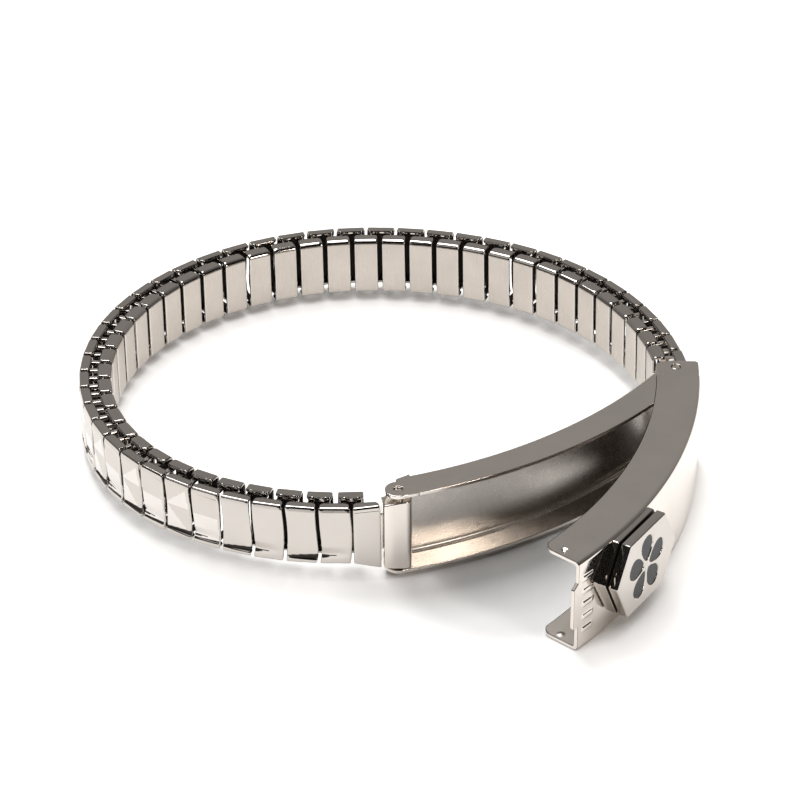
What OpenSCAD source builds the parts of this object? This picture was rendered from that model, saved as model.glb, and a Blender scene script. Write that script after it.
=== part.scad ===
// Expansion bracelet of sprung links with a curved message capsule.
// The capsule is a tray that closes the loop and a hinged lid that carries a six-sided badge.
// It lies on its side: the floor is z = 0 and the wrist goes through along Z.

/* [Band] */
// Height of the band, edge to edge
band_h = 6.3; // [6:0.1:6.5]
// Thickness of the band, from its skin side to its outer side
band_t = 3.4; // [3.2:0.02:3.44]
// Length of band that one link takes, midway through its thickness
pitch = 3.1; // [3.08:0.01:3.12]
// Width of one outer cap
cap_w = 3; // [2.9:0.02:3.02]
// Width of one inner link
inner_w = 2.5; // [2.4:0.02:2.6]
// Thickness of the links' metal
link_sheet = 0.3; // [0.25:0.05:0.35]
// Depth of a cap's folded tabs, from its outer face
cap_d = 1.15; // [1.05:0.05:1.25]
// Depth of an inner link's folded tabs, from its skin side
inner_d = 1.5; // [1.4:0.05:1.55]
// Sideways bow of the caps' edges
edge_bow = 0.2; // [0:0.05:0.25]
// Droop of the band behind the line between its pins, in degrees
band_tilt = 1.4; // [0:0.1:1.8]

/* [Capsule] */
// Radius of the capsule's curve, measured at the pins
capsule_r = 51.3; // [50:0.1:53]
// Height of the lid, edge to edge
lid_h = 10; // [9.8:0.1:10.2]
// Thickness of the capsule's sheet
sheet = 0.4; // [0.34:0.02:0.42]
// Slack between the lid's flanges and the tray's
play = 0.1; // [0.1:0.01:0.14]
// Reach of the tray from the pins' curve towards the wrist
tray_back = 1.8; // [1.7:0.05:1.85]
// Reach of the tray's flanges from the pins' curve outwards
tray_front = 1.55; // [1.45:0.05:1.6]
// Reach of the lid's flanges from the pins' curve towards the wrist
lid_back = 2; // [1.9:0.05:2.1]
// Reach of the lid from the pins' curve outwards
lid_front = 2.45; // [2.3:0.05:2.6]
// How far the lid stands open, in degrees
lid_open = 32; // [0:1:60]

/* [Pins] */
// Radius of the two pins
pin_r = 0.45; // [0.4:0.01:0.46]
// Running clearance round the pins
pin_play = 0.05; // [0.03:0.01:0.06]
// Outer radius of the band's rolled ends
knuckle_r = 1.3; // [1.2:0.05:1.35]

/* [Badge] */
// Height of the badge across its two level sides
badge_h = 8.1; // [7.6:0.1:8.3]
// Length of the badge's level sides
badge_side = 6.75; // [6:0.05:7]
// How far the badge's point on the lid's free side lies above its middle
badge_lift = 0.4; // [0:0.05:0.5]
// How far the badge lies from the hinge pin, along the lid
badge_at = 27.9; // [27:0.1:28.2]
// How far the badge's middle lies above the lid's
badge_up = 0.7; // [0.3:0.05:0.8]
// Thickness of the badge's base, of the groove behind its face, and of its face plate
badge_steps = [0.55, 0.3, 0.95];
// Depth of the enamel in the face plate
enamel_d = 0.25; // [0.15:0.05:0.4]

/* [Hidden] */
$fn = 48;
BIG_FN = 360;
EPS = 0.01;
DEG = 180 / PI;

// The patterned links lie between gap 0 and gap LINKS; a plain link and a rolled end finish each side.
LINKS = 41;
LEAD = 1.47;
TAIL = 0.9;
// The band's route from the left pin to the right pin: links passed and radius of each bend.
LEN = 0;
RADIUS = 1;
BEND = [
    [5 + LEAD, 26],
    [5, 24.5],
    [5, 27],
    [6, 27.5],
    [6, 27],
    [5, 32],
    [5, 29.5],
    [5 + TAIL, 33]
];
PIN_LEFT = [1.5, -26.2];
HEADING = 191.5;

STEEL = [0.78, 0.76, 0.73];
BRUSHED = [0.7, 0.68, 0.65];
BRIGHT = [0.86, 0.84, 0.8];
SHADE = [0.5, 0.48, 0.46];
ENAMEL = [0.3, 0.3, 0.32];

// Point reached s millimetres after p, leaving at heading h and bending to the right with radius r.
function arc_end(p, h, s, r) =
    let (b = h - s / r * DEG) [p.x + r * (sin(h) - sin(b)), p.y + r * (cos(b) - cos(h))];

// Start of each bend, as x, y and heading, each worked out from the bend before it.
function bend_start(k) =
    k == 0 ? [PIN_LEFT.x, PIN_LEFT.y, HEADING] :
    let (q = bend_start(k - 1), s = BEND[k - 1][LEN] * pitch, r = BEND[k - 1][RADIUS],
         e = arc_end(q, q.z, s, r))
    [e.x, e.y, q.z - s / r * DEG];
function links_before(k) = k == 0 ? -LEAD : links_before(k - 1) + BEND[k - 1][LEN];
STARTS = [for (k = [0:len(BEND)]) bend_start(k)];
PASSED = [for (k = [0:len(BEND)]) links_before(k)];

// Place and heading of the band's middle line, s links after gap 0.
function bend_of(s) = max([for (k = [0:len(BEND) - 1]) if (k == 0 || PASSED[k] <= s) k]);
function place(s) =
    let (k = bend_of(s), q = STARTS[k], d = (s - PASSED[k]) * pitch, r = BEND[k][RADIUS],
         e = arc_end(q, q.z, d, r))
    [e.x, e.y, q.z - d / r * DEG];

PIN_RIGHT = [STARTS[len(BEND)].x, STARTS[len(BEND)].y];
CHORD = norm(PIN_RIGHT - PIN_LEFT);
ALONG = (PIN_RIGHT - PIN_LEFT) / CHORD;
BACKWARDS = [-ALONG.y, ALONG.x];
CENTRE = (PIN_LEFT + PIN_RIGHT) / 2 + BACKWARDS * sqrt(pow(capsule_r, 2) - pow(CHORD / 2, 2));
HINGE_ANGLE = atan2(PIN_RIGHT.y - CENTRE.y, PIN_RIGHT.x - CENTRE.x);
// Length of the capsule's curve from pin to pin.
SPAN = 2 * asin(CHORD / 2 / capsule_r) / DEG * capsule_r;

// The band is hung a little above the capsule's middle.
BAND_RAISE = 0.2;
BAND_BOTTOM = (lid_h - band_h) / 2 + BAND_RAISE;
OUT = band_t / 2;
TRAY_LOW = sheet + play;
TRAY_TOP = lid_h - sheet - play;
// The left pin stands a little out from the capsule's curve, and a little past its end.
EYE_OUT = 0.3;
EYE_PAST = 0.18;
EYE_ANGLE = HINGE_ANGLE - (SPAN + EYE_PAST) / capsule_r * DEG;
EYE = CENTRE + (capsule_r + EYE_OUT) * [cos(EYE_ANGLE), sin(EYE_ANGLE)];

// Names of the patterned links, numbered from the left end.
function two_digits(k) = str(k < 10 ? "0" : "", k);
function link_name(k) = str("outer_link_", two_digits(k));

function arc_points(c, r, a0, a1, n = 5) =
    [for (i = [0:n]) c + r * [cos(a0 + (a1 - a0) * i / n), sin(a0 + (a1 - a0) * i / n)]];

// Stands its children on the band at s links, with x along the band, y outwards and z up.
module along_band(s) {
    q = place(s);
    translate([q.x, q.y, 0]) rotate(q.z) children();
}

// Lays the whole band down behind the line between its pins.
module drooped() {
    translate([PIN_LEFT.x, PIN_LEFT.y, BAND_BOTTOM])
        rotate(a = -band_tilt, v = [ALONG.x, ALONG.y, 0])
            translate([-PIN_LEFT.x, -PIN_LEFT.y, 0]) children();
}

// Extrudes a section drawn in y and z along x.
module across(length) {
    rotate([90, 0, 90]) linear_extrude(length, center = true) children();
}

// Rectangle from y0 to y1 whose corners at the side given are rounded.
module tab_plan(w, y0, y1, r, round_low) {
    yr = round_low ? y0 + r : y1 - r;
    a = round_low ? [180, 270, 360] : [0, 90, 180];
    x = w / 2 - r;
    flat = round_low ? [[w / 2, y1], [-w / 2, y1]] : [[-w / 2, y0], [w / 2, y0]];
    first = round_low ? -x : x;
    polygon(concat(arc_points([first, yr], r, a[0], a[1], 4),
                   arc_points([-first, yr], r, a[1], a[2], 4), flat));
}

// A cap's side edge bows away in the middle, or nearer the bottom at every second gap.
function bow(u, gap) = edge_bow * sin(180 * (gap % 2 == 0 ? u : pow(u, 2.4)));
BOW_STEPS = 6;
function cap_side(x, gap, top, bottom) =
    [for (i = [0:BOW_STEPS]) let (u = i / BOW_STEPS) [x - bow(u, gap), top + (bottom - top) * u]];

TOP_BEVEL = [0.14, 0.5];
TAB_IN = 0.16;
SCOOP = [0.2, 0.8, 1.1];

module cap_tabs(w, z0, z1) {
    for (z = [z0, z1 - link_sheet])
        translate([0, 0, z]) linear_extrude(link_sheet) tab_plan(w, OUT - cap_d, OUT, 0.45, true);
}

module top_bevel(z) {
    across(2 * pitch) polygon([
        [OUT - TOP_BEVEL.x, z + EPS], [OUT + 1, z + EPS], [OUT + 1, z - TOP_BEVEL.y],
        [OUT, z - TOP_BEVEL.y]
    ]);
}

// The hollow above the lower lip leans one way on even links and the other way on odd ones.
module scoop(k) {
    lean = k % 2 == 0 ? 5 : -2;
    translate([0, 0, SCOOP.y]) rotate([0, lean, 0]) across(cap_w * 0.8) polygon([
        [OUT - SCOOP.x, 0], [OUT + 1, 0], [OUT + 1, SCOOP.z], [OUT, SCOOP.z]
    ]);
}

module outer_link(k) {
    color(STEEL) drooped() along_band(k - 0.5) difference() {
        union() {
            translate([0, OUT, 0]) rotate([90, 0, 0]) linear_extrude(link_sheet) polygon(concat(
                cap_side(cap_w / 2, k, band_h, 0),
                [for (p = [BOW_STEPS:-1:0]) cap_side(-cap_w / 2, k - 1, band_h, 0)[p]]
            ));
            cap_tabs(cap_w - TAB_IN, 0, band_h);
        }
        top_bevel(band_h);
        scoop(k);
    }
}

FLARE_UP = 0.2;
FLARE_DOWN = 0.7;
// The left plain link is this much narrower, at its pin side.
END_CUT = 0.35;

// A plain cap whose height grows towards the capsule.
module end_link(s, gap_side, cut) {
    color(STEEL) drooped() along_band(s) union() {
        translate([0, OUT, 0]) rotate([90, 0, 0]) linear_extrude(link_sheet) polygon([
            [gap_side * cap_w / 2, band_h], [gap_side * cap_w / 2, 0],
            [gap_side * (cut - cap_w / 2), -FLARE_DOWN],
            [gap_side * (cut - cap_w / 2), band_h + FLARE_UP]
        ]);
        translate([gap_side * cut / 2, 0, 0]) cap_tabs(cap_w - cut - TAB_IN, 0, band_h);
    }
}

module inner_link() {
    y0 = -OUT;
    y1 = inner_d - OUT;
    z0 = 0;
    z1 = band_h + 0.05;
    r = 0.5;
    intersection() {
        across(inner_w) polygon(concat(
            arc_points([y0 + r, z1 - r], r, 180, 90),
            [[y1, z1], [y1, z1 - link_sheet], [y0 + link_sheet, z1 - link_sheet],
             [y0 + link_sheet, z0 + link_sheet], [y1, z0 + link_sheet], [y1, z0]],
            arc_points([y0 + r, z0 + r], r, 270, 180)
        ));
        linear_extrude(band_h + 1) tab_plan(inner_w, y0, y1, 0.4, false);
    }
}

module inner_links() {
    color(BRUSHED) drooped() for (k = [0:LINKS]) along_band(k) inner_link();
}

CLIP_T = 0.35;
CLIP_REACH = 1;
LEG_W = 0.6;

// A flat U: its back lies inside an inner link and its legs reach into the two caps beside it.
module clip() {
    side = pitch / 4 + LEG_W / 2;
    slot = pitch / 4 - LEG_W / 2;
    back = -CLIP_REACH + 0.3;
    linear_extrude(CLIP_T) polygon([
        [-side, CLIP_REACH], [-side, -CLIP_REACH], [side, -CLIP_REACH], [side, CLIP_REACH],
        [slot, CLIP_REACH], [slot, back], [-slot, back], [-slot, CLIP_REACH]
    ]);
}

module clips(z) {
    color(BRIGHT) drooped() for (k = [0:LINKS]) along_band(k) translate([0, 0, z]) clip();
}

module clips_upper() { clips(band_h - link_sheet - CLIP_T - 0.05); }
module clips_lower() { clips(link_sheet + 0.05); }

ROLL_LOW = TRAY_LOW + sheet + 0.1;
ROLL_TOP = lid_h - ROLL_LOW - 0.3;
TONGUE_T = 0.4;
TONGUE_IN = 1;

// The left roll's flat front runs on past its pin, and ends in a rounded corner.
SHOULDER = 0.5;
SHOULDER_R = 0.65;
ROLL_REACH = [1.63, 1.35];

// The band's end sheet: rolled round a pin, with a flat front and a tongue that runs under the end link.
module end_roll(pin, heading, side, shoulder, block) {
    front = knuckle_r;
    reach = knuckle_r + 1.6;
    color(STEEL) difference() {
        translate([pin.x, pin.y, 0]) rotate(heading) union() {
            translate([0, 0, ROLL_LOW]) cylinder(r = knuckle_r, h = ROLL_TOP - ROLL_LOW);
            translate([0, front, 0]) rotate([90, 0, 0]) linear_extrude(front * 1.3) polygon([
                [-side * shoulder, ROLL_LOW], [-side * shoulder, ROLL_TOP], [0, ROLL_TOP],
                [side * block, BAND_BOTTOM + band_h + FLARE_UP],
                [side * block, BAND_BOTTOM - FLARE_DOWN], [0, ROLL_LOW]
            ]);
            if (shoulder > 0)
                translate([-side * shoulder, front - SHOULDER_R, ROLL_LOW])
                    cylinder(r = SHOULDER_R, h = ROLL_TOP - ROLL_LOW);
            translate([side > 0 ? 0 : -reach, knuckle_r - TONGUE_IN, BAND_BOTTOM + 1.2])
                cube([reach, TONGUE_T, band_h - 2.4]);
        }
        translate([pin.x, pin.y, 0]) cylinder(r = pin_r + pin_play, h = lid_h);
    }
}

module end_roll_left() { end_roll(EYE, HEADING, 1, SHOULDER, ROLL_REACH[0]); }
module end_roll_right() { end_roll(PIN_RIGHT, STARTS[len(BEND)].z, -1, 0, ROLL_REACH[1]); }

module pin_left() {
    color(BRIGHT) translate([EYE.x, EYE.y, TRAY_LOW + 0.2])
        cylinder(r = pin_r, h = TRAY_TOP - TRAY_LOW - 0.4);
}

module pin_hinge() {
    color(BRIGHT) translate([PIN_RIGHT.x, PIN_RIGHT.y, 0.03]) cylinder(r = pin_r, h = lid_h - 0.06);
}

// Sweeps a section of distance from the pins' curve and height, from s0 to s1 along the curve.
module sweep(s0, s1) {
    translate([CENTRE.x, CENTRE.y, 0]) rotate(HINGE_ANGLE - s1 / capsule_r * DEG)
        rotate_extrude(angle = (s1 - s0) / capsule_r * DEG, $fn = BIG_FN)
            translate([capsule_r, 0]) children();
}

// Stands its children on the capsule's curve, with x outwards and y back towards the hinge.
module on_curve(s, out) {
    translate([CENTRE.x, CENTRE.y, 0]) rotate(HINGE_ANGLE - s / capsule_r * DEG)
        translate([capsule_r + out, 0, 0]) children();
}

module ring(s0, s1, a, b, z, t) {
    sweep(s0, s1) translate([a, z]) square([b - a, t]);
}

BEND_R = 0.45;

// Channel section with rounded bends at its back; wall is the back's distance, lip the flanges' reach.
module channel(wall, lip, z0, z1) {
    d = sign(lip - wall);
    polygon(concat(
        arc_points([wall + d * BEND_R, z1 - BEND_R], BEND_R, d > 0 ? 180 : 0, 90),
        [[lip, z1], [lip, z1 - sheet], [wall + d * sheet, z1 - sheet],
         [wall + d * sheet, z0 + sheet], [lip, z0 + sheet], [lip, z0]],
        arc_points([wall + d * BEND_R, z0 + BEND_R], BEND_R, d > 0 ? 270 : -90, d > 0 ? 180 : 0)
    ));
}

EAR_R = 1.3;
FLANGE_NARROW = 1.4;
EYE_CLEAR = 0.5;
WALL_CLEAR = knuckle_r + 0.3;
TRAY_START = 0.6;

// A flange's left end: it narrows at its back, ends at a step beside the ear, and leaves the bore free.
module flange_end(z) {
    step = -WALL_CLEAR;
    ear = step + EYE_CLEAR;
    on_curve(SPAN - WALL_CLEAR, 0) translate([0, 0, z]) linear_extrude(sheet) polygon([
        [-tray_back + 0.02, 0.2], [-FLANGE_NARROW, step], [-EYE_CLEAR, step], [-EYE_CLEAR, ear],
        [tray_front - 0.1, ear], [tray_front - 0.02, 0.2]
    ]);
}

// A channel between two pairs of flat ears.
module tray() {
    color(STEEL) difference() {
        union() {
            sweep(TRAY_START, SPAN - WALL_CLEAR) channel(-tray_back, tray_front, TRAY_LOW, TRAY_TOP);
            for (z = [TRAY_LOW, TRAY_TOP - sheet]) {
                on_curve(0, 0) translate([0, 0, z]) cylinder(r = tray_front - 0.05, h = sheet);
                translate([EYE.x, EYE.y, z]) cylinder(r = EAR_R, h = sheet);
                flange_end(z);
            }
        }
        for (s = [-WALL_CLEAR, SPAN - WALL_CLEAR])
            ring(s, s + 2 * WALL_CLEAR, -3, 3, TRAY_LOW + sheet, TRAY_TOP - TRAY_LOW - 2 * sheet);
        for (p = [EYE, PIN_RIGHT])
            translate([p.x, p.y, -1]) cylinder(r = pin_r + EPS, h = lid_h + 2);
    }
}

// Cuts a flange's corner round; sx and sy point from the corner into the sheet.
module corner_cut(s, out, r, sx, sy) {
    on_curve(s, out) translate([0, 0, -1]) difference() {
        translate([sx > 0 ? -1 : -r, sy > 0 ? -1 : -r, 0]) cube([r + 1, r + 1, lid_h + 2]);
        translate([sx * r, sy * r, -1]) cylinder(r = r, h = lid_h + 4);
    }
}

EAR_PAST = 1.1;
LID_WALL_START = 1.4;
LID_PAST = 0.75;
LIP_PAST = 1.35;
LIP_LOW = 2.7;
LIP_TOP = 7.2;
LIP_SLANT = 0.55;
RELIEF = 0.2;
DIMPLE_R = 0.4;
BUMP_H = 0.08;
RIB_COUNT = 5;
RIB_PITCH = 1.45;
RIB_H = 0.5;
RIB_D = 0.12;
RIB_FROM = SPAN - 1.35;
RIB_TO = SPAN + 0.1;

// Turns its children about the hinge pin, from the closed lid to the open one.
module swung() {
    translate([PIN_RIGHT.x, PIN_RIGHT.y, 0]) rotate(lid_open)
        translate([-PIN_RIGHT.x, -PIN_RIGHT.y, 0]) children();
}

// A tab that carries the wall on past its end, with a slanted shoulder above.
module thumb_lip() {
    long = LIP_PAST - LID_PAST;
    on_curve(SPAN + LID_PAST - EPS, lid_front - sheet) translate([0, -long, 0]) rotate([90, 0, 90])
        linear_extrude(sheet) polygon([
            [0, LIP_LOW], [long, LIP_LOW], [long, LIP_TOP + LIP_SLANT], [0, LIP_TOP]
        ]);
}

module lid_shell() {
    sweep(LID_WALL_START, SPAN + LID_PAST) channel(lid_front, -lid_back, 0, lid_h);
    for (z = [0, lid_h - sheet])
        ring(-EAR_PAST, LID_WALL_START + EPS, -lid_back, lid_front - 0.15, z, sheet);
    thumb_lip();
    for (i = [0:RIB_COUNT - 1])
        ring(RIB_FROM, RIB_TO, lid_front - sheet / 2, lid_front + RIB_D,
             lid_h / 2 + (i - (RIB_COUNT - 1) / 2) * RIB_PITCH - RIB_H / 2, RIB_H);
    for (z = [sheet - EPS, lid_h - sheet - BUMP_H])
        on_curve(SPAN, 0) translate([0, 0, z]) cylinder(r = DIMPLE_R * 0.85, h = BUMP_H + EPS);
}

module lid() {
    color(STEEL) swung() difference() {
        lid_shell();
        translate([PIN_RIGHT.x, PIN_RIGHT.y, -1]) cylinder(r = pin_r + pin_play, h = lid_h + 2);
        for (z = [-1, lid_h - 0.15])
            on_curve(SPAN, 0) translate([0, 0, z]) cylinder(r = DIMPLE_R, h = 1.15);
        corner_cut(-EAR_PAST, -lid_back, 1, 1, -1);
        corner_cut(-EAR_PAST, lid_front - 0.15, 0.4, -1, -1);
        corner_cut(SPAN + LID_PAST, -lid_back, 1.2, 1, 1);
        for (z = [sheet, lid_h - sheet - RELIEF])
            on_curve(SPAN + LID_PAST, lid_front - sheet - 0.1) translate([-RELIEF, -0.2, z])
                cube([2 * RELIEF, 0.5, RELIEF]);
    }
}

// The badge's outline: level sides above and below, and a point at each end.
function hexagon(inset) =
    let (h = badge_h / 2 - inset, a = badge_side / 2 - inset * tan(30), b = a + h * tan(30))
    [[b, 0], [a, h], [-a, h], [-b, badge_lift], [-a, -h], [a, -h]];

// The same outline with its corners rounded to radius r.
function soft_hexagon(inset, r) =
    let (c = hexagon(inset + r))
    [for (i = [0:5], p = arc_points(c[i], r, 60 * i - 30, 60 * i + 30, 4)) p];

BADGE_Z = lid_h / 2 + badge_up;

module badge_layer(inset, r, from, thick) {
    on_curve(badge_at, lid_front + from) translate([0, 0, BADGE_Z])
        rotate([90, 0, 90]) linear_extrude(thick) polygon(soft_hexagon(inset, r));
}

module badge_base() {
    color(SHADE) swung() difference() {
        badge_layer(0, 0.8, -0.5, badge_steps[0] + 0.5);
        translate([CENTRE.x, CENTRE.y, -1])
            cylinder(r = capsule_r + lid_front + 0.02, h = lid_h + 2, $fn = BIG_FN);
    }
}

PETALS = 5;
PETAL_AT = 1.95;
PETAL_LEN = 1.35;
PETAL_W = 1;

// One petal, pointing along x: a rounded drop that is wider at its outer end.
function petal(grow) =
    [for (a = [0:30:330]) [PETAL_AT + (PETAL_LEN + grow) * cos(a),
                           (PETAL_W + grow) * sin(a) * (1 + 0.32 * cos(a))]];

module rosette(grow, from, thick) {
    on_curve(badge_at, lid_front + from) translate([0, 0, BADGE_Z]) rotate([90, 0, 90])
        for (i = [0:PETALS - 1]) rotate(90 + i * 360 / PETALS) linear_extrude(thick) polygon(petal(grow));
}

BADGE_FACE = badge_steps[0] + badge_steps[1] + badge_steps[2];

module badge_plate() {
    color(BRIGHT) swung() difference() {
        union() {
            badge_layer(0.6, 0.6, badge_steps[0], badge_steps[1] + EPS);
            badge_layer(0, 0.2, badge_steps[0] + badge_steps[1], badge_steps[2]);
        }
        rosette(0.03, BADGE_FACE - enamel_d, enamel_d + 1);
    }
}

module badge_enamel() {
    color(ENAMEL) swung() rosette(0, BADGE_FACE - enamel_d, enamel_d - 0.06);
}

for (k = [1:LINKS]) outer_link(k);
end_link(-0.5, 1, END_CUT);  // end_link_left
end_link(LINKS + 0.5, -1, 0);  // end_link_right
end_roll_left();
end_roll_right();
inner_links();
clips_upper();
clips_lower();
pin_left();
pin_hinge();
tray();
lid();
badge_base();
badge_plate();
badge_enamel();
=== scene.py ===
"""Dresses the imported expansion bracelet: pressed, folded and rolled steel, an enamelled badge, and the stage.

Shapes are worked out in millimetres in the frame of the CAD part, and go into their meshes in metres.
"""

import math

import bpy
import numpy as np
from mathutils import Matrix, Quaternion, Vector


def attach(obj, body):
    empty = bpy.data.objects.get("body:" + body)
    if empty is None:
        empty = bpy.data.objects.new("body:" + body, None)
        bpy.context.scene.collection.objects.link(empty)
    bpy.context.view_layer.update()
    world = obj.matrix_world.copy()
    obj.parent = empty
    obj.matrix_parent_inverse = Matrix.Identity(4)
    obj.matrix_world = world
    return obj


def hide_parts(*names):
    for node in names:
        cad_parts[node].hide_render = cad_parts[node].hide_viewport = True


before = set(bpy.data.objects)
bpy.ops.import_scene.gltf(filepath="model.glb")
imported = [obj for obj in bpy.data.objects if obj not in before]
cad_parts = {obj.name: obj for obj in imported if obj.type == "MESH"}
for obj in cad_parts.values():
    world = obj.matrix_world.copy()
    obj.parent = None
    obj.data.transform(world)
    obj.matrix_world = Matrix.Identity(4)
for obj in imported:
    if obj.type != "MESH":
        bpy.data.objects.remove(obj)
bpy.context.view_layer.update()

bl_info = {
    "name": "Expansion bracelet",
    "version": (1, 0, 0),
    "blender": (4, 5, 0),
    "location": "View3D > Sidebar > Bracelet",
    "description": "Dresses an expansion bracelet that has a hinged capsule and an enamelled badge",
    "category": "Object",
}

MM = 0.001
LINKS = 41
BAND_H = 6.3
OUT = 1.7
PITCH = 3.1
CAP_W = 3.0
CAP_D = 1.15
TAB_IN = 0.08
INNER_W = 2.5
INNER_D = 1.5
LINK_SHEET = 0.3
CLIP_T = 0.35
EDGE_BOW = 0.2
FLARE_UP, FLARE_DOWN = 0.2, 0.7
END_CUT = 0.35
LEAD, TAIL = 1.47, 0.9
BENDS = np.array([
    [5 + LEAD, 26], [5, 24.5], [5, 27], [6, 27.5], [6, 27], [5, 32], [5, 29.5], [5 + TAIL, 33],
])
PIN_LEFT = np.array([1.5, -26.2])
HEADING = math.radians(191.5)
BAND_TILT = math.radians(-1.4)
BAND_BOTTOM = 2.05

CAPSULE_R = 51.3
SHEET = 0.4
LID_H = 10.0
LID_BACK, LID_FRONT = -2.0, 2.45
LID_START, LID_PAST, LIP_PAST = 1.4, 0.75, 1.35
LIP_LOW, LIP_TOP, LIP_SLANT = 2.7, 7.2, 0.55
TRAY_BACK, TRAY_FRONT = -1.8, 1.55
TRAY_LOW, TRAY_TOP = 0.5, 9.5
TRAY_START = 1.6
BEAD_AT = 0.42
EAR_R, NARROW = 1.3, 1.4
EYE_PAST, EYE_OUT = 0.18, 0.3
LID_OPEN = math.radians(32)
PIN_R = 0.45
KNUCKLE_R = 1.3
ROLL_LOW, ROLL_TOP = 1.0, 8.7
SHOULDER, SHOULDER_R = 0.5, 0.65
ROLL_REACH = (1.63, 1.35)
BADGE_AT, BADGE_Z = 27.9, 5.7
BADGE_H, BADGE_SIDE, BADGE_LIFT = 8.1, 6.75, 0.4
BASE_T, GROOVE_T, PLATE_T = 0.55, 0.3, 0.95
PETALS, PETAL_AT, PETAL_HALF, PETAL_LEAN = 5, 1.95, 1.35, 0.32

CAP_BENDS, CAP_BENDS_INSIDE = (0.3, 0.6, 0.25), (0.06, 0.3, 0.05)
CAP_BEVEL, BEVEL_Z = 0.14, 5.8
CAP_CORNER, LINK_CORNER = 0.45, 0.4
LINK_BEND, LINK_BEND_INSIDE = 0.5, 0.07
EDGE_FALL, EDGE_W = 0.05, 0.28
HOLLOW_DEPTH, HOLLOW_TOP, LEDGE_Z, HOLLOW_FOOT = 0.2, 1.95, 1.2, 0.72
# Height, and share of the hollow's depth, within which a cap's hollow gets a near-black painted shade.
SHADE_PAINT_TOP, SHADE_PAINT_FROM = 1.02, 0.22
LAST_PLAIN_CAP = 3
CLIP_HALF, CLIP_HALF_BACK = 0.3, 0.15
FOLD, TRAY_FOLD_INSIDE, LID_FOLD_INSIDE = 0.45, 0.3, 0.2
BEAD_H, BEAD_HALF = 0.09, 0.14
RIBS, RIB_STEP, RIB_HALF, RIB_EDGE = 5, 1.45, 0.34, 0.16
DIMPLE_R, DIMPLE_DEPTH = 0.42, 0.15
# Facets, by number, that get a painted highlight on odd and even caps.
PAINTED_GLINT_ODD, PAINTED_GLINT_EVEN = (3, 4), (2, 4)
LINK_FALL, LINK_FALL_W = 0.04, 0.3
CLIP_TIP, CLIP_BACK, CLIP_BEND = 1, -0.85, 0.25
TONGUE_IN, TONGUE_OUT, TONGUE_LENGTH, TONGUE_SHORT = 0.3, 0.7, 1.6, 1.2
HOLE_GAP_TRAY, HOLE_GAP_LID = 0.03, 0.05
LID_CORNER, LIP_CORNER = 1.2, 0.18

UP, DOWN = np.array([0, 0, 1.0]), np.array([0, 0, -1.0])


# Points, outward directions and faces

def unit(v):
    """Each vector divided by its length."""
    return v / np.maximum(np.linalg.norm(v, axis=-1, keepdims=True), 1e-12)


def cells_of(rows, cols, wrap=False):
    """Corner numbers of a grid's cells; with wrap the last column joins the first."""
    i, j = np.meshgrid(np.arange(rows - 1), np.arange(cols if wrap else cols - 1), indexing="ij")
    k = (j + 1) % cols
    return np.stack([i * cols + j, i * cols + k, (i + 1) * cols + k, (i + 1) * cols + j], -1).reshape(-1, 4)


def face_out(points, normals, cells):
    """Whether the cells' corners run so that their faces look along the directions given for the points.

    The cross product of a cell's two diagonals is its own direction.
    """
    a, b, c, d = (points[cells[:, k]] for k in range(4))
    return bool(np.sum(np.cross(c - a, d - b) * normals[cells[:, 0]]) > 0)


def join(skins):
    """Skins as one: points, directions and marks end to end, and corner numbers moved past those before.

    A skin holds its points, their outward directions, its faces, and the number of each face's finish.
    """
    sizes = np.cumsum([0] + [len(s[0]) for s in skins])
    return (np.concatenate([s[0] for s in skins]), np.concatenate([s[1] for s in skins]),
            np.concatenate([s[2] + n for s, n in zip(skins, sizes)]), np.concatenate([s[3] for s in skins]))


def moved(skin, turn, shift):
    """A skin turned by a matrix and then shifted."""
    return skin[0] @ turn.T + shift, skin[1] @ turn.T, skin[2], skin[3]


def sheet(x, path):
    """Grid of a folded sheet: each row of x stands at its own y and z of the path."""
    return np.stack([x, path[:, 0][:, None] + 0 * x, path[:, 1][:, None] + 0 * x], -1)


def sheet_n(lean, grid):
    """Directions of a folded sheet's grid, from each row's lean in y and z."""
    return np.broadcast_to(np.concatenate([np.zeros((len(lean), 1)), lean], 1)[:, None], grid.shape)


def about_z(angle):
    """Matrix of a turn about the upright axis."""
    c, s = math.cos(angle), math.sin(angle)
    return np.array([[c, -s, 0.0], [s, c, 0.0], [0.0, 0.0, 1.0]])


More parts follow.
